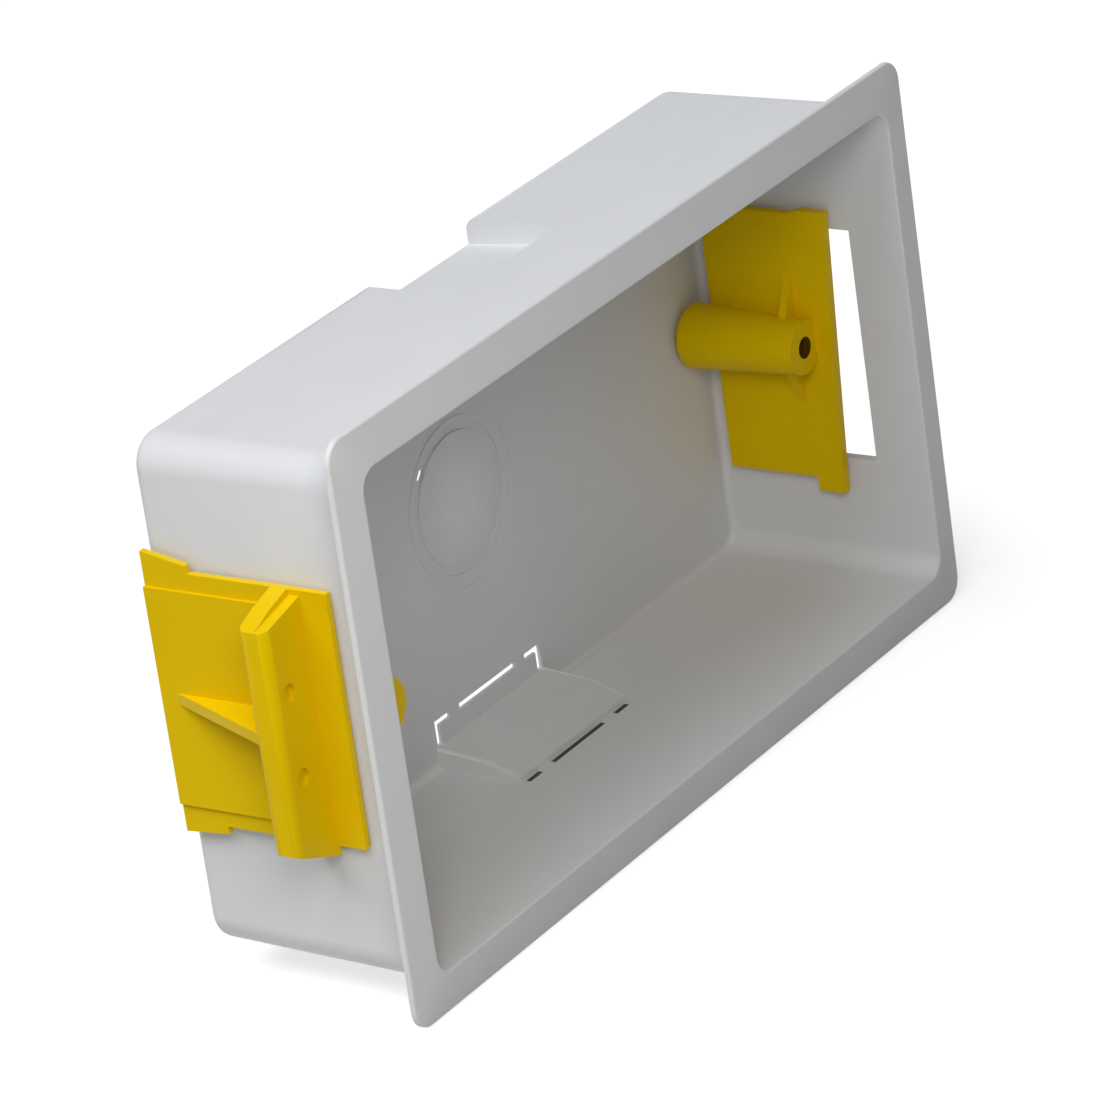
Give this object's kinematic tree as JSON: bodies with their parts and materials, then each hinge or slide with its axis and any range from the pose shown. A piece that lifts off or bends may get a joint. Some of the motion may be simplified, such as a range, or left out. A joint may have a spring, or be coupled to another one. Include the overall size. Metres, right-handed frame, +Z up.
{
  "type": "drywall back box",
  "caption": "Flanged white plastic back box for plasterboard, with a deep open tray, knock-outs for cables and yellow sliding lugs that clamp the board and take the faceplate screws.",
  "frame": {"origin": "centre of the flange's back plane, which lies on the face of the plasterboard", "axes": "+Y into the wall, towards the back of the box; +Z up; X along the box, left to right as seen from the room"},
  "size_m": [0.1526, 0.0455, 0.0834],
  "materials": {
    "white_plastic": "satin",
    "yellow_plastic": "satin"
  },
  "bodies": {
    "box": {"box_shell": "white_plastic"},
    "left_lug": {"left_lug": "yellow_plastic"},
    "right_lug": {"right_lug": "yellow_plastic"}
  },
  "joints": [
    {"name": "left_lug_slide", "type": "slide", "parent": "box", "child": "left_lug", "axis": [0, 1, 0], "range_m": [0, 0.0095]},
    {"name": "right_lug_slide", "type": "slide", "parent": "box", "child": "right_lug", "axis": [0, 1, 0], "range_m": [-0.0095, 0]}
  ]
}
